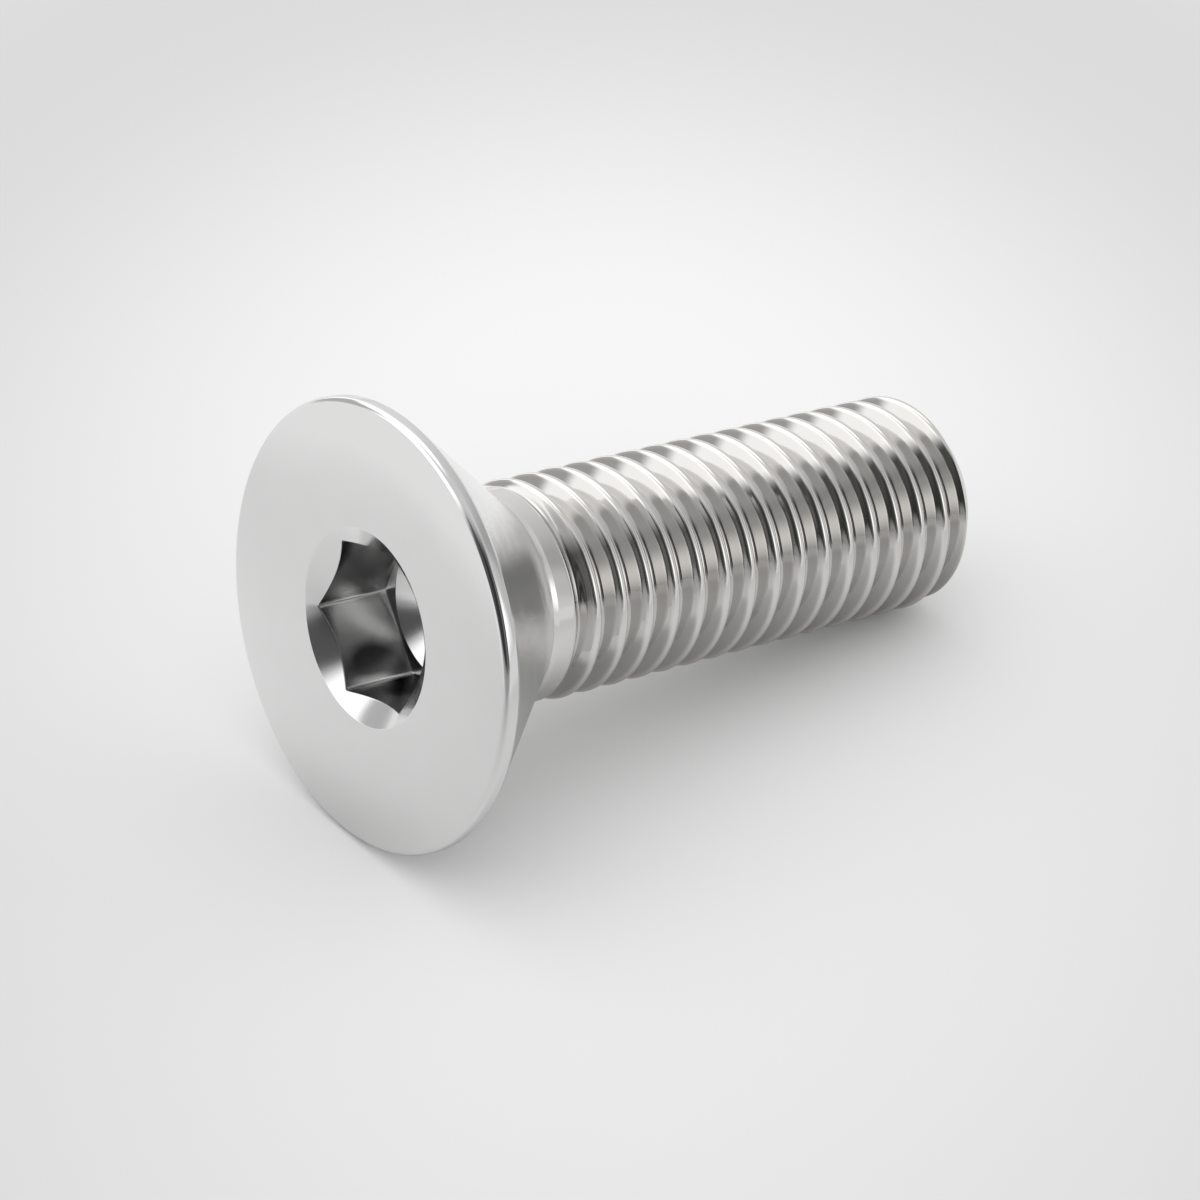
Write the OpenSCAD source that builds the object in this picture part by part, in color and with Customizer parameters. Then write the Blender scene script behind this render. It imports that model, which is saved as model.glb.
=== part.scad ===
// Countersunk socket screw: flat head with a conical seat, hexagon socket,
// plain neck and a right-hand metric thread with a chamfered tip.
// Sizes are in millimetres. The screw lies on the rim of its head and on the
// crest of its thread, on the plane z = 0, with its tip towards +X.

/* [Thread] */
// Outside diameter of the thread
thread_d = 12; // [10:0.5:16]
// Distance from one turn of the thread to the next
thread_pitch = 1.75; // [1.25:0.25:2.5]
// Angle between the two flanks of the groove
thread_angle = 60; // [50:1:70]
// Width of the flat on top of the thread
crest_w = 0.32; // [0.1:0.02:0.4]
// Radius of the round bottom of the groove
root_r = 0.26; // [0.1:0.02:0.5]
// Angle about the axis, from the underside, at which the crest ends at the tip
thread_turn = 145; // [0:1:359]

/* [Shank] */
// Length of the whole screw, from the face of the head to the tip
overall_l = 38; // [30:1:60]
// Diameter of the plain neck under the head
neck_d = 11.6; // [9:0.1:15]
// Length of the plain neck, from the end of the seat to the first groove
neck_l = 1.3; // [0.5:0.1:4]
// Length over which the groove sinks to its full depth
runout_l = 1.2; // [0.5:0.1:5]
// Diameter of the flat end of the tip
tip_d = 9.2; // [5:0.1:9.5]
// Angle of the chamfer at the tip, from the axis
tip_angle = 45; // [30:1:60]

/* [Head] */
// Diameter of the head
head_d = 24; // [20:0.5:32]
// Height of the straight rim between the face and the seat
rim_h = 0.75; // [0.5:0.05:2]
// Radius of the edge between the face and the rim
rim_round = 0.25; // [0.05:0.05:0.4]
// Angle of the seat, measured across the cone
seat_angle = 84; // [80:1:100]
// Radius where the seat runs into the neck
neck_fillet = 0.6; // [0.2:0.1:2]

/* [Socket] */
// Width of the hexagon socket across its flats
socket_af = 8; // [5:0.5:8.5]
// Depth of the socket walls below the face
socket_depth = 5; // [3:0.1:6]
// Diameter of the countersunk mouth of the socket
mouth_d = 10.6; // [10:0.1:12]
// Angle of the countersunk mouth, measured across the cone
mouth_angle = 90; // [80:1:130]
// Angle of the cone that the drill leaves at the bottom, across the cone
floor_angle = 120; // [110:1:150]
// Turn of the socket about the axis, from a corner at the underside
socket_turn = 17; // [0:1:59]

/* [Hidden] */

head_r = head_d / 2;
thread_r = thread_d / 2;
neck_r = neck_d / 2;
tip_r = tip_d / 2;
mouth_r = mouth_d / 2;

// Where the parts of the screw begin along its axis, from the face of the head
seat_half = seat_angle / 2;
neck_start = rim_h + (head_r - neck_r) / tan(seat_half);
runout_start = neck_start + neck_l;

// The groove: straight flanks joined by an arc at the bottom
flank_half = thread_angle / 2;
groove_half = (thread_pitch - crest_w) / 2;
root_round = min(root_r, 0.95 * groove_half / cos(flank_half));
groove_depth = groove_half / tan(flank_half) - root_round * (1 / sin(flank_half) - 1);
groove_bottom_r = thread_r - groove_depth;

// One turn of the thread as points [distance along the axis, radius], from one
// edge of a crest to the next one
ROOT_STEPS = 4;
root_points = [
    for (i = [0 : ROOT_STEPS])
        let (a = (90 - flank_half) * (2 * i / ROOT_STEPS - 1))
            [crest_w / 2 + groove_half + root_round * sin(a),
             groove_bottom_r + root_round * (1 - cos(a))]
];
turn_points = concat([[-crest_w / 2, thread_r], [crest_w / 2, thread_r]], root_points);
TURN_COUNT = len(turn_points);

// The threaded body runs from inside the neck to past the tip, where it is
// trimmed, and its turns are cut into as many steps as its faces allow
EDGE = 0.2;
FACE_BUDGET = 9000;
body_start = runout_start - EDGE;
body_end = overall_l + EDGE;
body_turns = (body_end - body_start) / thread_pitch;
MAX_STEPS = 36;
TURN_STEPS = min(MAX_STEPS, floor(FACE_BUDGET / (2 * TURN_COUNT * body_turns)));
turns = ceil(body_turns) + 4;
crest_start = overall_l - thread_pitch * (thread_turn / 360 + ceil(body_turns) + 2);

// The body's radius under the neck is a little less, so the neck covers it
COVER = 0.02;
function groove_share(z) =
    let (s = min(1, max(0, (z - runout_start) / runout_l)))
        s * s * (3 - 2 * s);
function body_radius(z, r) = let (s = groove_share(z)) (1 - s) * (neck_r - COVER) + s * r;

// Profile radius at any distance past a crest, for points cut off at the ends
function turn_radius(w) =
    let (v = (w + crest_w / 2) - thread_pitch * floor((w + crest_w / 2) / thread_pitch) - crest_w / 2)
        lookup(v, concat(turn_points, [[thread_pitch - crest_w / 2, thread_r]]));

// Line of the crest: its distance along the axis, angle a from the underside
function crest_z(a) = crest_start + thread_pitch * a / 360;

// Station i on the ray at angle a, held between the ends of the body
function station_z(i, a) =
    crest_z(a) + thread_pitch * floor(i / TURN_COUNT) + turn_points[i % TURN_COUNT][0];
function station(i, a) =
    let (z = min(body_end, max(body_start, station_z(i, a))))
        let (r = body_radius(z, turn_radius(z - crest_z(a))))
            [r * cos(a), r * sin(a), z];

// First and last station that lie between the ends on the ray at angle a
LAST = TURN_COUNT * turns - 1;
function first_station(a) = max([for (i = [0 : LAST]) station_z(i, a) <= body_start ? i : 0]);
function last_station(a) = min([for (i = [0 : LAST]) station_z(i, a) >= body_end ? i : LAST]);

// Angle between the axis and the plane that the screw lies on: the rim and the
// lowest point of the crests, or of the chamfer, touch that plane
chamfer_start = overall_l - (thread_r - tip_r) / tan(tip_angle);
REST_STEP = 0.01;
lie_angle = min([
    for (z = [runout_start + runout_l : REST_STEP : chamfer_start])
        let (r = turn_radius(z - crest_z(0)))
            atan((head_r - r) / (z - rim_h))
]);

// Place of the face's centre that puts the bottom centre of the lying screw at
// the origin
face_x = (head_edge_reach() - tip_reach()) / 2;
face_z = head_r * cos(lie_angle) + rim_h * sin(lie_angle);
function head_edge_reach() =
    (head_r - rim_round) * sin(lie_angle) + rim_round - rim_round * cos(lie_angle);
function tip_reach() = max(
    overall_l * cos(lie_angle) + tip_r * sin(lie_angle),
    chamfer_start * cos(lie_angle) + thread_r * sin(lie_angle));

ROUND_STEPS = 6;
CUT = 1;
MARGIN = 1;
$fn = 96;

// Outline of the head and the neck: face, rounded edge, rim, seat and fillet
module head_outline() {
    fillet_z = neck_start + neck_fillet * tan(seat_half / 2);
    edge = [
        for (i = [0 : ROUND_STEPS])
            let (a = 90 * i / ROUND_STEPS)
                [head_r - rim_round * (1 - sin(a)), rim_round * (1 - cos(a))]
    ];
    fillet = [
        for (i = [0 : ROUND_STEPS])
            let (a = seat_half * (1 - i / ROUND_STEPS))
                [neck_r + neck_fillet * (1 - cos(a)), fillet_z - neck_fillet * sin(a)]
    ];
    polygon(concat([[0, 0]], edge, [[head_r, rim_h]], fillet,
        [[neck_r, runout_start], [0, runout_start]]));
}

// The threaded body, untrimmed: rings of points that follow the helix, joined
// to the next ring and, after a full turn, to themselves one pitch further on
module threaded_body() {
    angles = [for (k = [0 : TURN_STEPS - 1]) 360 * k / TURN_STEPS];
    firsts = [for (a = angles) first_station(a)];
    lasts = [for (a = angles) last_station(a)];
    rows = [for (k = [0 : TURN_STEPS - 1]) lasts[k] - firsts[k] + 1];
    offsets = [for (k = 0, sum = 0; k < TURN_STEPS; sum = sum + rows[k], k = k + 1) sum];
    rings = [
        for (k = [0 : TURN_STEPS - 1])
            for (i = [firsts[k] : lasts[k]])
                station(i, angles[k])
    ];
    foot = len(rings);
    function id(k, i) =
        k < TURN_STEPS
            ? offsets[k] + min(lasts[k], max(firsts[k], i)) - firsts[k]
            : offsets[0] + min(lasts[0], max(firsts[0], i + TURN_COUNT)) - firsts[0];
    sides = [
        for (k = [0 : TURN_STEPS - 1])
            for (i = [0 : LAST])
                let (a = id(k, i), b = id(k, i + 1), c = id(k + 1, i + 1), d = id(k + 1, i))
                    each [
                        if (a != b && b != c && a != c) [a, b, c],
                        if (a != c && c != d && a != d) [a, c, d]
                    ]
    ];
    ends = [
        for (k = [0 : TURN_STEPS - 1])
            let (next = (k + 1) % TURN_STEPS)
                each [
                    [foot, offsets[k], offsets[next]],
                    [foot + 1, offsets[next] + rows[next] - 1, offsets[k] + rows[k] - 1]
                ]
    ];
    polyhedron(
        points = concat(rings, [[0, 0, body_start], [0, 0, body_end]]),
        faces = concat(sides, ends),
        convexity = 10);
}

// Space that the tip keeps within: flat end, chamfer, and room round the crests
module tip_outline() {
    out_r = thread_r + MARGIN;
    polygon([
        [0, body_start - CUT],
        [out_r, body_start - CUT],
        [out_r, chamfer_start - MARGIN / tan(tip_angle)],
        [tip_r, overall_l],
        [0, overall_l]
    ]);
}

module thread() {
    intersection() {
        threaded_body();
        rotate_extrude() tip_outline();
    }
}

// Hexagon socket with a countersunk mouth and a drilled cone at the bottom
module socket() {
    wall_r = socket_af / 2 / cos(30);
    floor_r = socket_af / 2;
    rotate([0, 0, socket_turn])
        translate([0, 0, -CUT])
            cylinder(r = wall_r, h = socket_depth + CUT, $fn = 6);
    translate([0, 0, socket_depth])
        cylinder(r1 = floor_r, r2 = 0, h = floor_r / tan(floor_angle / 2));
    translate([0, 0, -CUT])
        cylinder(
            r1 = mouth_r + CUT * tan(mouth_angle / 2),
            r2 = 0,
            h = CUT + mouth_r / tan(mouth_angle / 2));
}

// The screw about its own axis, face at z = 0 and tip towards +Z
module upright_screw() {
    difference() {
        union() {
            rotate_extrude() head_outline();
            thread();
        }
        socket();
    }
}

module screw() {
    color([0.80, 0.80, 0.79])
        translate([face_x, 0, face_z])
            rotate([0, 90 + lie_angle, 0])
                upright_screw();
}

screw();
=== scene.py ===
# Countersunk socket screw of bright steel, lying on the rim of its head and on
# the crest of its thread. Lengths are in millimetres and become metres where a
# mesh or a pattern is made.
import math

import bmesh
import bpy
from mathutils import Matrix, Vector


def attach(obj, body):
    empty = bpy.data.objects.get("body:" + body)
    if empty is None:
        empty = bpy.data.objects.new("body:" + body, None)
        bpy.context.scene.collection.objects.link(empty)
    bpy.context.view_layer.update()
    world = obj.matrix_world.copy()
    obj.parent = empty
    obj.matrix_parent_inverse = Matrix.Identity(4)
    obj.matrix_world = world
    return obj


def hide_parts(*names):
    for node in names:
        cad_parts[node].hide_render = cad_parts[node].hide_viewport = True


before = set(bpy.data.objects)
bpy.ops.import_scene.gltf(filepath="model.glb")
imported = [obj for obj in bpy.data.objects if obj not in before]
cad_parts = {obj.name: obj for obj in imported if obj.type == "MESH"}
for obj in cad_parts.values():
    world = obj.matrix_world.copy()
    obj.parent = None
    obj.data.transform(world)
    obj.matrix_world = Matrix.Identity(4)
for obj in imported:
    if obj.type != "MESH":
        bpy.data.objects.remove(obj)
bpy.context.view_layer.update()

# Screw: one piece of steel. Its head is forged with the seat and the socket and
# turned bright, and its thread is rolled into the shank. It lies loose, so its
# axis dips towards the tip.
MM = 0.001
LIE_ANGLE = math.radians(9.7414604)
FACE_X = -18.1193428

# Head: face, rim, seat, and a narrow crease before the lip of the neck
HEAD_R = 12.0
RIM_H = 0.75
RIM_ROUND = 0.42
SEAT_ROUND = 0.12
CREASE_R = 5.74
CREASE_Z = 7.84
CREASE_ROUND = 0.05
LIP_L = 0.3
LIP_ROUND = 0.3
NECK_R = 5.8
NECK_END = 8.936

# Socket: a countersunk mouth, six walls and the cone that the drill leaves
MOUTH_R = 5.3
MOUTH_SLOPE = math.radians(57)
MOUTH_ROUND = 0.15
SOCKET_AF = 8.15
SOCKET_DEPTH = 4.75
SOCKET_TURN = math.radians(17)
CORNER_ROUND = 0.2
WALL_EDGE_ROUND = 0.1
BOTTOM_ROUND = 0.1
DRILL_R = 3.85
DRILL_ROUND = 0.12
DRILL_CONE = math.radians(60)

# The face between these two radii evens out the columns, which crowd together
# at the socket's corners; a small disc closes the columns on the axis
FACE_IN_R = MOUTH_R + 1.5
FACE_OUT_R = MOUTH_R + 3
AXIS_DISC_R = 0.02
SECTOR_COUNT = 6
SECTOR = math.tau / SECTOR_COUNT
CORNER_SPAN = math.radians(2.2)
CORNER_STEPS = 6
FLAT_STEPS = 14
ROUND_STEPS = 6

# A round takes up at most this part of the sides next to it
ROUND_ROOM = 1 / 2.01

AXIS = Vector((math.cos(LIE_ANGLE), 0, -math.sin(LIE_ANGLE)))
UNDERSIDE = Vector((-math.sin(LIE_ANGLE), 0, -math.cos(LIE_ANGLE)))
SIDE = Vector((0, 1, 0))
FACE_Z = HEAD_R * math.cos(LIE_ANGLE) + RIM_H * math.sin(LIE_ANGLE)
LYING = Matrix((UNDERSIDE, SIDE, AXIS)).transposed().to_4x4()
LYING.translation = Vector((FACE_X, 0, FACE_Z)) * MM


def rounded(points, rounds):
    """The outline of (radius, depth) points with each inner corner rounded."""
    outline = [points[0]]
    for k in range(1, len(points) - 1):
        corner = Vector(points[k])
        back = Vector(points[k - 1]) - corner
        ahead = Vector(points[k + 1]) - corner
        half = back.angle(ahead) / 2
        room = min(back.length, ahead.length) * ROUND_ROOM
        cut = min(rounds[k] / math.tan(half), room)
        inwards = (back.normalized() + ahead.normalized()).normalized()
        middle = corner + inwards * (cut * math.tan(half) / math.sin(half))
        start = corner + back.normalized() * cut - middle
        stop = corner + ahead.normalized() * cut - middle
        turn = start.angle_signed(stop)
        for i in range(ROUND_STEPS + 1):
            arm = start.copy()
            arm.rotate(Matrix.Rotation(-turn * i / ROUND_STEPS, 2))
            outline.append(tuple(middle + arm))
    outline.append(points[-1])
    return outline


def wall_radius(angle):
    """Distance from the axis to the socket's wall, with rounded corners."""
    off = abs((angle - SOCKET_TURN + SECTOR / 2) % SECTOR - SECTOR / 2)
    middle = (SOCKET_AF / 2 - CORNER_ROUND) / math.cos(SECTOR / 2)
    end = math.atan2(
        CORNER_ROUND * math.sin(SECTOR / 2), middle + CORNER_ROUND * math.cos(SECTOR / 2)
    )
    if off < end:
        sideways = middle * math.sin(off)
        return middle * math.cos(off) + math.sqrt(CORNER_ROUND**2 - sideways**2)
    return SOCKET_AF / 2 / math.cos(SECTOR / 2 - off)


def socket_profile(angle):
    """The socket from its deepest point to the face, as (radius, depth)."""
    wall = wall_radius(angle)
    points = [
        (AXIS_DISC_R, SOCKET_DEPTH + DRILL_R / math.tan(DRILL_CONE)),
        (DRILL_R, SOCKET_DEPTH),
        (wall, SOCKET_DEPTH),
        (wall, (MOUTH_R - wall) / math.tan(MOUTH_SLOPE)),
        (MOUTH_R, 0),
        (FACE_IN_R, 0),
    ]
    return rounded(points, [0, DRILL_ROUND, BOTTOM_ROUND, WALL_EDGE_ROUND, MOUTH_ROUND, 0])


def head_profile():
    """The head from its face to the end of the neck, as (radius, depth)."""
    points = [
        (FACE_OUT_R, 0),
        (HEAD_R, 0),
        (HEAD_R, RIM_H),
        (CREASE_R, CREASE_Z),
        (NECK_R, CREASE_Z + LIP_L),
        (NECK_R, NECK_END),
    ]
    return rounded(points, [0, RIM_ROUND, SEAT_ROUND, CREASE_ROUND, LIP_ROUND, 0])


def column_angles():
    """Angles of the columns: close together at the socket's corners, and even."""
    crowded = []
    flat = SECTOR - CORNER_SPAN
    for sector in range(SECTOR_COUNT):
        corner = SOCKET_TURN + sector * SECTOR
        start, stop = corner - CORNER_SPAN / 2, corner + CORNER_SPAN / 2
        crowded += [start + CORNER_SPAN * i / CORNER_STEPS for i in range(CORNER_STEPS)]
        crowded += [stop + flat * i / FLAT_STEPS for i in range(FLAT_STEPS)]
    total = len(crowded)
    even = [SOCKET_TURN - CORNER_SPAN / 2 + math.tau * i / total for i in range(total)]
    return crowded, even


# Thread: one pitch of it, its run-out from the neck, and the chamfer at the tip
THREAD_R = 6.0
PITCH = 1.75
FLANK_ANGLE = math.radians(31.5)
CREST_W = 0.305
CREST_ROUND = 0.23
ROOT_ROUND = 0.25
GROOVE_DEPTH = 0.951
RUNOUT_L = 1.2
OVERALL_L = 38.0
TIP_R = 4.6
TIP_ROUND = 0.12
END_ROUND = 0.1

# The crest ends so far round at the tip, as a share of a turn, and the helix
# starts whole turns before it; the tip's own mesh is the last bit of chamfer
TIP_TURN = 133.5 / 360
TURNS_BACK = 20
FIRST_CREST = OVERALL_L - PITCH * (TIP_TURN + TURNS_BACK)
TURNS = TURNS_BACK + 1
TURN_STEPS = len(column_angles()[0])
TIP_MESH_L = 0.2
SHANK_END = OVERALL_L - TIP_MESH_L
FILLET_COUNT = 4
STATION_SPACING = 0.1
WELD = 0.002
LEAST_EDGE = 0.00001


def tip_profile():
    """The end of the chamfer and the flat end, as (radius, depth)."""
    points = [
        (TIP_R + TIP_MESH_L, SHANK_END),
        (TIP_R, OVERALL_L),
        (AXIS_DISC_R, OVERALL_L),
    ]
    return rounded(points, [0, END_ROUND, 0])


def new_point(bm, radius, angle, depth):
    """A point about the screw's own axis, with the face at depth 0."""
    spot = Vector((radius * math.cos(angle), radius * math.sin(angle), depth))
    return bm.verts.new(spot * MM)


def join_columns(bm, columns):
    """Faces from each column of points to the next one about the axis."""
    for k, column in enumerate(columns):
        after = columns[(k + 1) % len(columns)]
        for i in range(len(column) - 1):
            bm.faces.new((column[i], after[i], after[i + 1], column[i + 1]))


def head_and_tip():
    """The two ends of the screw, which the threaded shank joins."""
    bm = bmesh.new()
    crowded, even = column_angles()
    head = [
        [new_point(bm, r, inner, z) for r, z in socket_profile(inner)]
        + [new_point(bm, r, outer, z) for r, z in head_profile()]
        for inner, outer in zip(crowded, even)
    ]
    join_columns(bm, head)
    bm.faces.new([column[0] for column in head])
    tip = [[new_point(bm, r, angle, z) for r, z in tip_profile()] for angle in even]
    join_columns(bm, tip)
    bm.faces.new([column[-1] for column in reversed(tip)])
    mesh = bpy.data.meshes.new("steel_screw")
    bm.to_mesh(mesh)
    bm.free()
    return mesh


def tree_with(name, inputs):
    """A geometry tree with one geometry input, the named sizes and an output."""
    tree = bpy.data.node_groups.new(name, "GeometryNodeTree")
    sockets = tree.interface
    sockets.new_socket("Geometry", in_out="INPUT", socket_type="NodeSocketGeometry")
    for label, kind, value in inputs:
        socket = sockets.new_socket(label, in_out="INPUT", socket_type=kind)
        if value is not None:
            socket.default_value = value
    sockets.new_socket("Geometry", in_out="OUTPUT", socket_type="NodeSocketGeometry")
    return tree


def add(tree, kind, links=(), **settings):
    """A node with its settings made, and its inputs linked or set by name or number."""
    node = tree.nodes.new(kind)
    for key, value in settings.items():
        setattr(node, key, value)
    for at, source in dict(links).items():
        socket = node.inputs[at]
        if isinstance(source, bpy.types.NodeSocket):
            tree.links.new(source, socket)
        else:
            socket.default_value = source
    return node


def calc(tree, operation, *values):
    """The result of a sum on lengths, angles or shades."""
    node = add(tree, "ShaderNodeMath", dict(enumerate(values)), operation=operation)
    return node.outputs[0]


def count(tree, operation, *values):
    """The result of a sum on whole numbers."""
    node = add(tree, "FunctionNodeIntegerMath", dict(enumerate(values)), operation=operation)
    return node.outputs[0]


def blend(tree, share, low, high):
    """From low, where the share is 0, to high, where it is 1."""
    mix = add(tree, "ShaderNodeMix", {0: share, 2: low, 3: high}, data_type="FLOAT")
    return mix.outputs[0]


def thread_outline(tree, given):
    """One pitch of the thread: crest, flank, root, flank and crest, with rounds."""
    crest_r = given["Thread Radius"]
    root_r = calc(tree, "SUBTRACT", crest_r, given["Groove Depth"])
    slope = calc(tree, "TANGENT", given["Flank Angle"])
    half_crest = calc(tree, "DIVIDE", given["Crest Width"], 2.0)
    flank = calc(tree, "MULTIPLY", given["Groove Depth"], slope)
    root_at = calc(tree, "ADD", half_crest, flank)
    corners = [
        (0.0, crest_r),
        (half_crest, crest_r),
        (root_at, root_r),
        (calc(tree, "SUBTRACT", given["Pitch"], root_at), root_r),
        (calc(tree, "SUBTRACT", given["Pitch"], half_crest), crest_r),
        (given["Pitch"], crest_r),
    ]
    here = add(tree, "GeometryNodeInputIndex").outputs[0]
    places = add(tree, "GeometryNodeIndexSwitch", data_type="VECTOR")
    while len(places.index_switch_items) < len(corners):
        places.index_switch_items.new()
    tree.links.new(here, places.inputs[0])
    for k, (along, radius) in enumerate(corners):
        point = add(tree, "ShaderNodeCombineXYZ", {0: along, 1: radius})
        tree.links.new(point.outputs[0], places.inputs[1 + k])
    line = add(tree, "GeometryNodeMeshLine", {"Count": len(corners)})
    curve = add(tree, "GeometryNodeMeshToCurve", {"Mesh": line.outputs[0]})
    placed = add(
        tree,
        "GeometryNodeSetPosition",
        {"Geometry": curve.outputs[0], "Position": places.outputs[0]},
    )

    # The two middle corners are the root's, the others the crest's
    at_root = calc(tree, "COMPARE", here, (len(corners) - 1) / 2, 1.0)
    filleted = add(
        tree,
        "GeometryNodeFilletCurve",
        {
            "Curve": placed.outputs[0],
            "Count": FILLET_COUNT,
            "Radius": blend(tree, at_root, given["Crest Rounding"], given["Root Rounding"]),
            "Limit Radius": True,
        },
        mode="POLY",
    )

    # Long stretches of it are cut into stations of about even spacing
    run = add(tree, "GeometryNodeSplineParameter").outputs["Length"]
    next_run = add(
        tree,
        "GeometryNodeFieldAtIndex",
        {"Index": count(tree, "ADD", here, 1), "Value": run},
        domain="POINT",
        data_type="FLOAT",
    )
    gap = calc(tree, "SUBTRACT", next_run.outputs[0], run)
    cuts = calc(tree, "FLOOR", calc(tree, "DIVIDE", gap, given["Station Spacing"]))
    outline = add(
        tree,
        "GeometryNodeSubdivideCurve",
        {"Curve": filleted.outputs[0], "Cuts": calc(tree, "MAXIMUM", cuts, 0.0)},
    )
    return outline.outputs[0]


def thread_sheet(tree, given, outline):
    """A sheet with a column for each step about the axis, laid along the helix."""
    size = add(tree, "GeometryNodeAttributeDomainSize", {0: outline}, component="CURVE")
    stations = count(tree, "SUBTRACT", size.outputs["Point Count"], 1)
    rows = count(tree, "ADD", count(tree, "MULTIPLY", stations, given["Turns"]), 1)
    sheet = add(
        tree,
        "GeometryNodeMeshGrid",
        {"Vertices X": count(tree, "ADD", given["Turn Steps"], 1), "Vertices Y": rows},
    )
    here = add(tree, "GeometryNodeInputIndex").outputs[0]
    column = count(tree, "DIVIDE_FLOOR", here, rows)
    row = count(tree, "MODULO", here, rows)
    turn = count(tree, "DIVIDE_FLOOR", row, stations)
    sample = add(
        tree,
        "GeometryNodeSampleIndex",
        {
            "Geometry": outline,
            "Value": add(tree, "GeometryNodeInputPosition").outputs[0],
            "Index": count(tree, "MODULO", row, stations),
        },
        data_type="FLOAT_VECTOR",
        domain="POINT",
    )
    spot = add(tree, "ShaderNodeSeparateXYZ", {0: sample.outputs[0]}).outputs

    # Its angle about the axis and its place along it, held between the ends
    share = calc(tree, "DIVIDE", column, given["Turn Steps"])
    angle = calc(tree, "ADD", given["First Angle"], calc(tree, "MULTIPLY", share, math.tau))
    helix = calc(tree, "ADD", turn, calc(tree, "DIVIDE", angle, math.tau))
    start = calc(tree, "ADD", given["First Crest"], spot[0])
    free = calc(tree, "ADD", start, calc(tree, "MULTIPLY", helix, given["Pitch"]))
    past_neck = calc(tree, "MAXIMUM", given["Neck End"], free)
    along = calc(tree, "MINIMUM", given["Shank End"], past_neck)

    # Its radius: the groove sinks out of the neck, and the chamfer trims the tip
    sunk = add(
        tree,
        "ShaderNodeMapRange",
        {
            "Value": calc(tree, "SUBTRACT", along, given["Neck End"]),
            "From Min": 0.0,
            "From Max": given["Run-out Length"],
        },
        interpolation_type="SMOOTHSTEP",
    ).outputs[0]
    grooved = blend(tree, sunk, given["Neck Radius"], spot[1])
    to_end = calc(tree, "SUBTRACT", given["Overall Length"], along)
    chamfer = calc(tree, "ADD", given["Tip Radius"], to_end)
    radius = calc(tree, "SMOOTH_MIN", grooved, chamfer, given["Tip Rounding"])
    place = add(
        tree,
        "ShaderNodeCombineXYZ",
        {
            0: calc(tree, "MULTIPLY", radius, calc(tree, "COSINE", angle)),
            1: calc(tree, "MULTIPLY", radius, calc(tree, "SINE", angle)),
            2: along,
        },
    )
    scaled = add(
        tree,
        "ShaderNodeVectorMath",
        {0: place.outputs[0], "Scale": given["Scale"]},
        operation="SCALE",
    )
    laid = add(
        tree,
        "GeometryNodeSetPosition",
        {"Geometry": sheet.outputs[0], "Position": scaled.outputs[0]},
    )
    return laid.outputs[0]


def shank_tree():
    """The threaded shank, joined to the head and the tip that come in."""
    tree = tree_with(
        "Threaded Shank",
        [
            ("Pitch", "NodeSocketFloat", PITCH),
            ("Thread Radius", "NodeSocketFloat", THREAD_R),
            ("Groove Depth", "NodeSocketFloat", GROOVE_DEPTH),
            ("Flank Angle", "NodeSocketFloat", FLANK_ANGLE),
            ("Crest Width", "NodeSocketFloat", CREST_W),
            ("Crest Rounding", "NodeSocketFloat", CREST_ROUND),
            ("Root Rounding", "NodeSocketFloat", ROOT_ROUND),
            ("Neck Radius", "NodeSocketFloat", NECK_R),
            ("Neck End", "NodeSocketFloat", NECK_END),
            ("Run-out Length", "NodeSocketFloat", RUNOUT_L),
            ("Overall Length", "NodeSocketFloat", OVERALL_L),
            ("Tip Radius", "NodeSocketFloat", TIP_R),
            ("Tip Rounding", "NodeSocketFloat", TIP_ROUND),
            ("Shank End", "NodeSocketFloat", SHANK_END),
            ("First Crest", "NodeSocketFloat", FIRST_CREST),
            ("First Angle", "NodeSocketFloat", column_angles()[1][0]),
            ("Turn Steps", "NodeSocketInt", TURN_STEPS),
            ("Turns", "NodeSocketInt", TURNS),
            ("Station Spacing", "NodeSocketFloat", STATION_SPACING),
            ("Scale", "NodeSocketFloat", MM),
            ("Material", "NodeSocketMaterial", None),
        ],
    )
    given = add(tree, "NodeGroupInput").outputs
    shank = thread_sheet(tree, given, thread_outline(tree, given))
    joined = add(tree, "GeometryNodeJoinGeometry")
    tree.links.new(given["Geometry"], joined.inputs[0])
    tree.links.new(shank, joined.inputs[0])
    welded = add(
        tree,
        "GeometryNodeMergeByDistance",
        {"Geometry": joined.outputs[0], "Distance": WELD * MM},
    )
    smooth = add(tree, "GeometryNodeSetShadeSmooth", {"Geometry": welded.outputs[0]})
    real = add(tree, "GeometryNodeRealizeInstances", {"Geometry": smooth.outputs[0]})
    finished = add(
        tree,
        "GeometryNodeSetMaterial",
        {"Geometry": real.outputs[0], "Material": given["Material"]},
    )
    add(tree, "NodeGroupOutput", {0: finished.outputs[0]})
    return tree


# Steel: shades of the head, of the crests and of the groove, which is darker;
# and of the socket's walls: painted shade, painted patches of reflected light and
# painted highlights along the corners between the walls
HEAD_SHADE, CREST_SHADE, GROOVE_SHADE = 0.8, 0.79, 0.62
WALL_PAINTED_SHADE, WALL_PAINTED_LIGHT, WALL_CORNER_HIGHLIGHT = 0.14, 0.8, 0.95
PAINTED_SHADE_BELOW, PAINTED_LIGHT_ABOVE = 0.35, 0.62
WALL_EDGE_R, WALL_EDGE_FULL_R = 4.6, 4.65
PATCH_SHADE = 0.03
HEAD_BLUE, SHANK_GREEN, SHANK_BLUE = 0.995, 0.983, 0.955

# How dull each place is, and what the rings, the streaks and the patches add
SHANK_ROUGH, FACE_ROUGH, SEAT_ROUGH = 0.03, 0.05, 0.22
SOCKET_ROUGH, WALL_ROUGH = 0.12, 0.2
MARK_ROUGH, PATCH_ROUGH = 0.03, 0.02
MARK_DEPTH, LUMP_DEPTH = 0.001, 0.045
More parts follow.
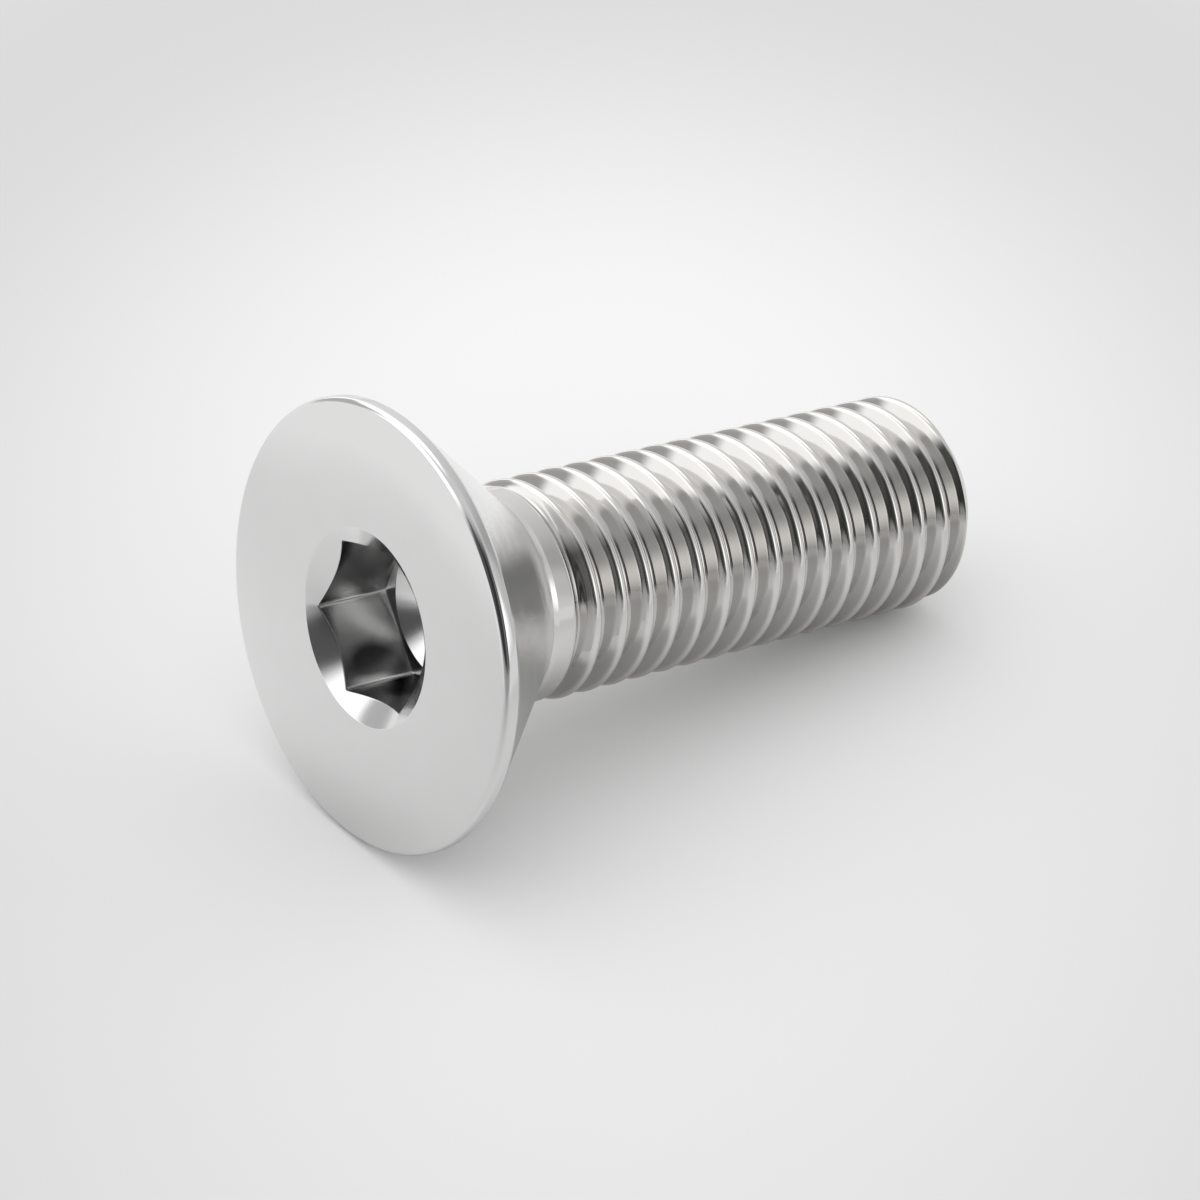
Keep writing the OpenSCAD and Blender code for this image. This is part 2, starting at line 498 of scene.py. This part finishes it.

# Where one shade or dullness gives way to the next, measured from the edge between them
GROOVE_BLEND = (0.05, 0.25)
WALL_TOP_BLEND = (0.02, 0.08)
WALL_MOUTH_BLEND = 0.2
BOTTOM_BLEND = 0.02
HEAD_BLEND = 0.2
TONE_BLEND = 1.0
SEAT_BLEND = 0.3
SOCKET_BLEND = (0.05, -0.1)

# Noise of each kind of mark, as scale and detail, and how far the streaks and
# the rings are drawn out round the axis
STREAKS, RINGS = (9.0, 3.0), (14.0, 2.0)
PATCHES, WALL_LIGHT_PATCHES, LUMPS = (0.45, 3.0), (0.4, 0.0), (0.6, 1.0)
STREAK_STRETCH = (1.0, 1.0, 0.35)
STREAK_TURN, RING_TURN = 0.5, 0.05


def step(tree, value, start, stop, low=0.0, high=1.0):
    """A soft step from low to high while the value goes from start to stop."""
    return add(
        tree,
        "ShaderNodeMapRange",
        {"Value": value, "From Min": start, "From Max": stop, "To Min": low, "To Max": high},
        interpolation_type="SMOOTHSTEP",
    ).outputs[0]


def both(tree, one, other):
    """The product of two masks or levels."""
    return calc(tree, "MULTIPLY", one, other)


def cloud(tree, place, size, stretch=(1.0, 1.0, 1.0)):
    """Noise over the place, of a scale and a detail, stretched along its axes."""
    scale, detail = size
    drawn = add(tree, "ShaderNodeMapping", {"Vector": place, "Scale": stretch}).outputs[0]
    noise = add(
        tree, "ShaderNodeTexNoise", {"Vector": drawn, "Scale": scale, "Detail": detail}
    )
    return noise.outputs[0]


def bright_steel():
    """Bright steel, with masks by radius and by distance from the face."""
    steel = bpy.data.materials.new("bright_steel")
    steel.use_nodes = True
    tree = steel.node_tree
    own = add(
        tree,
        "ShaderNodeMapping",
        {
            "Vector": add(tree, "ShaderNodeTexCoord").outputs["Object"],
            "Location": (FACE_X * MM, 0, FACE_Z * MM),
            "Rotation": (0, math.radians(90) + LIE_ANGLE, 0),
            "Scale": (MM, MM, MM),
        },
        vector_type="TEXTURE",
    ).outputs[0]
    x, y, along = add(tree, "ShaderNodeSeparateXYZ", {0: own}).outputs
    squares = calc(tree, "ADD", calc(tree, "MULTIPLY", x, x), calc(tree, "MULTIPLY", y, y))
    out = calc(tree, "SQRT", squares)
    angle = calc(tree, "ARCTAN2", y, x)

    # Where the surface is: in the groove, on the socket's walls, on the head
    crest_edge, groove_edge = GROOVE_BLEND
    grooved = both(
        tree,
        step(tree, out, THREAD_R - crest_edge, THREAD_R - groove_edge),
        step(tree, along, NECK_END, NECK_END + RUNOUT_L),
    )
    inwards = calc(tree, "SUBTRACT", out, MOUTH_R)
    past_mouth = calc(tree, "DIVIDE", inwards, math.tan(MOUTH_SLOPE))
    below_mouth = calc(tree, "ADD", along, past_mouth)
    walled = both(
        tree,
        step(tree, below_mouth, *WALL_TOP_BLEND),
        step(tree, out, MOUTH_R, MOUTH_R - WALL_MOUTH_BLEND),
    )
    above_bottom = step(tree, along, SOCKET_DEPTH + BOTTOM_BLEND, SOCKET_DEPTH - BOTTOM_BLEND)
    walled = both(tree, walled, above_bottom)
    on_head = step(tree, along, CREASE_Z + HEAD_BLEND, CREASE_Z - HEAD_BLEND)
    seat = both(tree, on_head, step(tree, along, RIM_H, RIM_H + SEAT_BLEND))
    seat = both(tree, seat, step(tree, out, MOUTH_R, MOUTH_R + SEAT_BLEND))
    mouth_edge, mouth_inside = SOCKET_BLEND
    in_socket = step(tree, out, MOUTH_R + mouth_edge, MOUTH_R + mouth_inside)
    in_socket = both(tree, on_head, in_socket)

    # Streaks along the helix, rings about the head, and faint patches
    drop = calc(tree, "MULTIPLY", angle, PITCH / math.tau)
    rolled = add(
        tree,
        "ShaderNodeCombineXYZ",
        {
            0: calc(tree, "SUBTRACT", along, drop),
            1: out,
            2: calc(tree, "MULTIPLY", angle, STREAK_TURN),
        },
    ).outputs[0]
    turned = add(
        tree,
        "ShaderNodeCombineXYZ",
        {0: out, 1: along, 2: calc(tree, "MULTIPLY", angle, RING_TURN)},
    ).outputs[0]
    streaks = cloud(tree, rolled, STREAKS, STREAK_STRETCH)
    rings = cloud(tree, turned, RINGS)
    marks = blend(tree, on_head, streaks, rings)
    patches = cloud(tree, own, PATCHES)

    shade = blend(tree, on_head, CREST_SHADE, HEAD_SHADE)
    # Darker in the groove than on the crests
    shade = blend(tree, grooved, shade, GROOVE_SHADE)
    # Painted shade on the socket's walls, with lighter patches from noise as painted
    # reflections
    wall_light_noise = cloud(tree, own, WALL_LIGHT_PATCHES)
    painted_wall_light = step(tree, wall_light_noise, PAINTED_SHADE_BELOW, PAINTED_LIGHT_ABOVE, WALL_PAINTED_SHADE, WALL_PAINTED_LIGHT)
    shade = blend(tree, walled, shade, painted_wall_light)
    # Painted highlights: paler lines along the corners between the socket's walls
    painted_corner_highlight = both(tree, walled, step(tree, out, WALL_EDGE_R, WALL_EDGE_FULL_R))
    shade = blend(tree, painted_corner_highlight, shade, WALL_CORNER_HIGHLIGHT)
    uneven = calc(tree, "SUBTRACT", patches, 0.5)
    shade = calc(tree, "MULTIPLY_ADD", uneven, PATCH_SHADE, shade)
    warm = step(tree, along, CREASE_Z - TONE_BLEND, CREASE_Z + TONE_BLEND)
    tone = add(
        tree,
        "ShaderNodeCombineXYZ",
        {
            0: shade,
            1: calc(tree, "MULTIPLY", shade, blend(tree, warm, 1.0, SHANK_GREEN)),
            2: calc(tree, "MULTIPLY", shade, blend(tree, warm, HEAD_BLUE, SHANK_BLUE)),
        },
    ).outputs[0]

    rough = blend(tree, on_head, SHANK_ROUGH, FACE_ROUGH)
    rough = blend(tree, seat, rough, SEAT_ROUGH)
    rough = blend(tree, in_socket, rough, SOCKET_ROUGH)
    rough = blend(tree, walled, rough, WALL_ROUGH)
    rough = calc(tree, "MULTIPLY_ADD", marks, MARK_ROUGH, rough)
    rough = calc(tree, "MULTIPLY_ADD", patches, PATCH_ROUGH, rough)

    relief = calc(tree, "MULTIPLY", marks, MARK_DEPTH)
    lumpy = blend(tree, seat, 0.0, LUMP_DEPTH)
    relief = calc(tree, "MULTIPLY_ADD", cloud(tree, own, LUMPS), lumpy, relief)
    lift = add(
        tree, "ShaderNodeBump", {"Strength": 1.0, "Distance": MM, "Height": relief}
    ).outputs[0]

    shader = tree.nodes["Principled BSDF"]
    shader.inputs["Metallic"].default_value = 1.0
    tree.links.new(tone, shader.inputs["Base Color"])
    tree.links.new(rough, shader.inputs["Roughness"])
    tree.links.new(lift, shader.inputs["Normal"])
    return steel


def set_input(modifier, label, value):
    """Sets the tree's input of that name by its socket's identifier."""
    for item in modifier.node_group.interface.items_tree:
        if item.item_type == "SOCKET" and item.in_out == "INPUT" and item.name == label:
            modifier[item.identifier] = value


screw = bpy.data.objects.new("steel_screw", head_and_tip())
bpy.context.scene.collection.objects.link(screw)
shank = screw.modifiers.new("shank", "NODES")
shank.node_group = shank_tree()
set_input(shank, "Material", bright_steel())
made = bpy.data.meshes.new_from_object(
    screw.evaluated_get(bpy.context.evaluated_depsgraph_get())
)
screw.modifiers.remove(shank)
screw.data = made
made.transform(LYING)
closed = bmesh.new()
closed.from_mesh(made)
bmesh.ops.dissolve_degenerate(closed, dist=LEAST_EDGE * MM, edges=closed.edges)
bmesh.ops.recalc_face_normals(closed, faces=closed.faces)
closed.to_mesh(made)
closed.free()
made.shade_smooth()
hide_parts("screw")
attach(screw, "root")


# Floor: a pale, matt sheet of card under the screw. A soft pool of light is painted
# on it, longer towards the camera than away from it.
SHEET_R = 3000.0
SHEET_SIDES = 96
SHEET_ROUGH = 0.9
POOL_MIDDLE = (13.0, 20.0)
POOL_TURN = math.radians(-37.5)
POOL_SIDE, POOL_BACK, POOL_FRONT = 44.0, 62.0, 88.0
POOL_SHADE, RING_SHADE, OUTER_SHADE = 0.92, 0.7, 0.8
POOL_FADE = (0.2, 1.2)
RING_FADE = (1.3, 1.8)

# What the steel mirrors of it carries painted shade: darker between two directions,
# a painted shadow under the screw, darker in front of it and lighter behind it
DARK_DIRECTIONS = (175, -100)
DARK_BLEND = (10.0, 100.0)
DARK_SHARE = 0.45
SHADOW_MIDDLE = 5.0
SHADOW_HALF_L = 17.0
SHADOW_BLEND = 16.0
SHADOW_SHARE = 0.68
SIDE_BLEND = (-20.0, 35.0)
FRONT_SHARE, BACK_SHARE = 0.87, 1.1
FAR_FRONT_BLEND = (-30.0, -70.0)
FAR_FRONT_SHARE = 0.95


def metres(lengths):
    """The lengths, given in millimetres, in metres."""
    return [length * MM for length in lengths]


floor_mesh = bpy.data.meshes.new("floor")
disc = bmesh.new()
bmesh.ops.create_circle(disc, cap_ends=True, segments=SHEET_SIDES, radius=SHEET_R * MM)
disc.to_mesh(floor_mesh)
disc.free()
floor = bpy.data.objects.new("floor", floor_mesh)
bpy.context.scene.collection.objects.link(floor)
paint = bpy.data.materials.new("pale_floor")
paint.use_nodes = True
tree = paint.node_tree
spot = add(tree, "ShaderNodeTexCoord").outputs["Object"]
pool = add(
    tree,
    "ShaderNodeMapping",
    {
        "Vector": spot,
        "Location": (*metres(POOL_MIDDLE), 0),
        "Rotation": (0, 0, POOL_TURN),
    },
    vector_type="TEXTURE",
).outputs[0]
across, deep, _ = add(tree, "ShaderNodeSeparateXYZ", {0: pool}).outputs
across = calc(tree, "DIVIDE", across, POOL_SIDE * MM)
back = calc(tree, "DIVIDE", calc(tree, "MAXIMUM", deep, 0.0), POOL_BACK * MM)
front = calc(tree, "DIVIDE", calc(tree, "MINIMUM", deep, 0.0), POOL_FRONT * MM)
reach = add(
    tree, "ShaderNodeCombineXYZ", {0: across, 1: calc(tree, "ADD", back, front)}
).outputs[0]
reach = add(tree, "ShaderNodeVectorMath", {0: reach}, operation="LENGTH").outputs["Value"]
# Painted pool of light: palest in the middle, darker out to a ring, a little paler beyond
shade = blend(tree, step(tree, reach, *POOL_FADE), POOL_SHADE, RING_SHADE)
shade = blend(tree, step(tree, reach, *RING_FADE), shade, OUTER_SHADE)

# Painted shade in what the steel mirrors of the floor: darker between two directions
dark_sides = []
for degrees in DARK_DIRECTIONS:
    towards = (math.cos(math.radians(degrees)), math.sin(math.radians(degrees)), 0)
    product = add(
        tree, "ShaderNodeVectorMath", {0: spot, 1: towards}, operation="DOT_PRODUCT"
    )
    dark_sides.append(product.outputs["Value"])
dark = calc(tree, "MINIMUM", *dark_sides)
dark = step(tree, dark, *metres(DARK_BLEND), 1.0, DARK_SHARE)

# A painted shadow under the screw, darker in front of it and lighter behind it
along, beside, _ = add(tree, "ShaderNodeSeparateXYZ", {0: spot}).outputs
past_end = calc(tree, "ABSOLUTE", calc(tree, "SUBTRACT", along, SHADOW_MIDDLE * MM))
past_end = calc(tree, "SUBTRACT", past_end, SHADOW_HALF_L * MM)
past_end = calc(tree, "MAXIMUM", past_end, 0)
away = add(tree, "ShaderNodeCombineXYZ", {0: past_end, 1: beside}).outputs[0]
away = add(tree, "ShaderNodeVectorMath", {0: away}, operation="LENGTH").outputs["Value"]
sides = step(tree, beside, *metres(SIDE_BLEND), FRONT_SHARE, BACK_SHARE)
sides = blend(tree, step(tree, beside, *metres(FAR_FRONT_BLEND)), sides, FAR_FRONT_SHARE)
mirrored = both(tree, step(tree, away, 0, SHADOW_BLEND * MM, SHADOW_SHARE, 1), sides)
mirrored = both(tree, mirrored, dark)
seen_by = add(tree, "ShaderNodeLightPath").outputs
shade = both(tree, shade, blend(tree, seen_by["Is Glossy Ray"], 1, mirrored))
matt = tree.nodes["Principled BSDF"]
tree.links.new(shade, matt.inputs["Base Color"])
matt.inputs["Roughness"].default_value = SHEET_ROUGH
matt.inputs["Specular IOR Level"].default_value = 0.0
floor_mesh.materials.append(paint)


# Studio: a bright wall behind the screw and to its left, a narrow bright strip
# at the right with grey panels next to it, an unlit room behind the camera and
# a ceiling that is brightest above the wall. Angles are in degrees.
WALL_DIRECTION = 55
ROOM_DIRECTION = -110
CEILING_DIRECTION, CEILING_RISE = 85, 62

# Directions in which a panel begins and is full, or also fades and ends, counted
# from the middle of the bright wall; heights over which it does so; its level
STRIP, STRIP_HEIGHTS, STRIP_LEVELS = (-149, -139), (-3, 17), (0.75, 1.38)
GREY_PANELS = [((-115, -105), 0.58), ((-101, -89), 0.42)]
RISING_START, RISING_SPAN, RISING_LEVEL = -81, 76, 0.82
LOW_PALE, PALE_HEIGHTS, PALE_LEVEL = (-93, -83, -61, -45), (12, 26), 0.72
BRIGHT_WALL, BRIGHT_LEVEL = (5, 35), 1.42
LOW_GREY, LOW_HEIGHTS, LOW_LEVEL = (29, 37, 69, 79), (19, 27), 0.5
HIGH_GREY, HIGH_HEIGHTS, HIGH_LEVEL = (-149, -139, -105, -95), (19, 40), 0.66

ROOM_LEFT, ROOM_RIGHT = (104, 124), (-150, -160)
ROOM_SLANT, ROOM_SLANT_HEIGHT = -0.55, 28
ROOM_LEVEL, ROOM_LEFT_LEVEL, ROOM_LEFT_FADE = 0.04, 0.09, (134, 144)
ROOM_GLOW, ROOM_GLOW_LEVEL = (-180, -170, -162, -152), 0.09

CEILING_NEAR, CEILING_LEVELS = (0.89, 0.98), (0.7, 1.5)
CEILING_ROOM, CEILING_ROOM_LEVELS = (48, 80), (0.1, 1.0)
CEILING_HEIGHTS = (40, 60)
HORIZON_HEIGHTS, BELOW_WALL, BELOW_ROOM = (-2, 6), 0.72, 0.4
DOME_LEVEL, DOME_RISE = 0.67, 0.5
BACKGROUND = 0.8

world = bpy.data.worlds.new("studio")
bpy.context.scene.world = world
world.use_nodes = True
tree = world.node_tree
heading = add(tree, "ShaderNodeTexCoord").outputs["Generated"]
rise = add(tree, "ShaderNodeSeparateXYZ", {0: heading}).outputs[2]
height = calc(tree, "MULTIPLY", calc(tree, "ARCSINE", rise), 180 / math.pi)


def facing(degrees, up=0):
    """How far the heading agrees with the direction, from -1 to 1."""
    flat = math.cos(math.radians(up))
    to = (
        flat * math.cos(math.radians(degrees)),
        flat * math.sin(math.radians(degrees)),
        math.sin(math.radians(up)),
    )
    product = add(
        tree, "ShaderNodeVectorMath", {0: heading, 1: to}, operation="DOT_PRODUCT"
    )
    return product.outputs["Value"]


def between(value, start, full, fall, stop):
    """A soft window: 0 up to start, 1 from full to fall, 0 again past stop."""
    return both(tree, step(tree, value, start, full), step(tree, value, fall, stop, 1, 0))


about = calc(tree, "ARCTAN2", facing(WALL_DIRECTION + 90), facing(WALL_DIRECTION))
about = calc(tree, "MULTIPLY", about, 180 / math.pi)

# The wall, from the unlit room round to the bright wall
strip = step(tree, height, *STRIP_HEIGHTS, *STRIP_LEVELS)
wall = blend(tree, step(tree, about, *STRIP), ROOM_LEVEL, strip)
for edges, level in GREY_PANELS:
    wall = blend(tree, step(tree, about, *edges), wall, level)
rising = calc(tree, "DIVIDE", calc(tree, "ADD", about, -RISING_START), RISING_SPAN)
wall = blend(tree, rising, wall, RISING_LEVEL)
low_pale = both(tree, between(about, *LOW_PALE), step(tree, height, *PALE_HEIGHTS, 1, 0))
wall = blend(tree, low_pale, wall, PALE_LEVEL)
wall = blend(tree, step(tree, about, *BRIGHT_WALL), wall, BRIGHT_LEVEL)
low_grey = both(tree, between(about, *LOW_GREY), step(tree, height, *LOW_HEIGHTS, 1, 0))
wall = blend(tree, low_grey, wall, LOW_LEVEL)
high_grey = both(tree, between(about, *HIGH_GREY), step(tree, height, *HIGH_HEIGHTS))
wall = blend(tree, high_grey, wall, HIGH_LEVEL)

# The room behind the camera: its left edge leans, and both ends glow faintly
above = calc(tree, "SUBTRACT", height, ROOM_SLANT_HEIGHT)
leaning = calc(tree, "MULTIPLY_ADD", above, ROOM_SLANT, about)
room = calc(tree, "ADD", step(tree, leaning, *ROOM_LEFT), step(tree, about, *ROOM_RIGHT))
unlit = step(tree, about, *ROOM_LEFT_FADE, ROOM_LEFT_LEVEL, ROOM_LEVEL)
unlit = calc(tree, "MULTIPLY_ADD", between(about, *ROOM_GLOW), ROOM_GLOW_LEVEL, unlit)
wall = blend(tree, room, wall, unlit)

# The ceiling over both, and the far floor below the horizon
overhead = facing(CEILING_DIRECTION, CEILING_RISE)
ceiling = step(tree, overhead, *CEILING_NEAR, *CEILING_LEVELS)
from_room = calc(tree, "ARCCOSINE", facing(ROOM_DIRECTION))
from_room = calc(tree, "MULTIPLY", from_room, 180 / math.pi)
ceiling = both(tree, ceiling, step(tree, from_room, *CEILING_ROOM, *CEILING_ROOM_LEVELS))
light = blend(tree, step(tree, height, *CEILING_HEIGHTS), wall, ceiling)
below = blend(tree, room, BELOW_WALL, BELOW_ROOM)
light = blend(tree, step(tree, height, *HORIZON_HEIGHTS), below, light)

# A plain soft dome lights the floor, and the camera sees a plain background
seen_by = add(tree, "ShaderNodeLightPath").outputs
dome = calc(tree, "MULTIPLY_ADD", rise, DOME_RISE, DOME_LEVEL)
level = blend(tree, seen_by["Is Diffuse Ray"], light, dome)
level = blend(tree, seen_by["Is Camera Ray"], level, BACKGROUND)
tree.links.new(level, tree.nodes["Background"].inputs["Color"])

# Camera: the photograph's viewing angle, from the head's side and above.
EYE_PLACE = (-115.52517083, -146.59773541, 131.07431568)
EYE_HEADING = math.radians(52.46845707)
EYE_DIP = math.radians(33.76120789)
EYE_LENS = 124.478
EYE_SENSOR = 36
EYE_NEAR, EYE_FAR = 10.0, 10000.0

eye = bpy.data.cameras.new("camera")
eye.lens = EYE_LENS
eye.sensor_width = EYE_SENSOR
eye.clip_start = EYE_NEAR * MM
eye.clip_end = EYE_FAR * MM
camera = bpy.data.objects.new("camera", eye)
bpy.context.scene.collection.objects.link(camera)
right = Vector((math.sin(EYE_HEADING), -math.cos(EYE_HEADING), 0))
ahead = Vector((math.cos(EYE_HEADING), math.sin(EYE_HEADING), 0)) * math.cos(EYE_DIP)
look = ahead - Vector((0, 0, math.sin(EYE_DIP)))
camera.matrix_world = Matrix((right, right.cross(look), -look)).transposed().to_4x4()
camera.location = Vector(EYE_PLACE) * MM
bpy.context.scene.camera = camera
bpy.context.scene.view_settings.view_transform = "Standard"
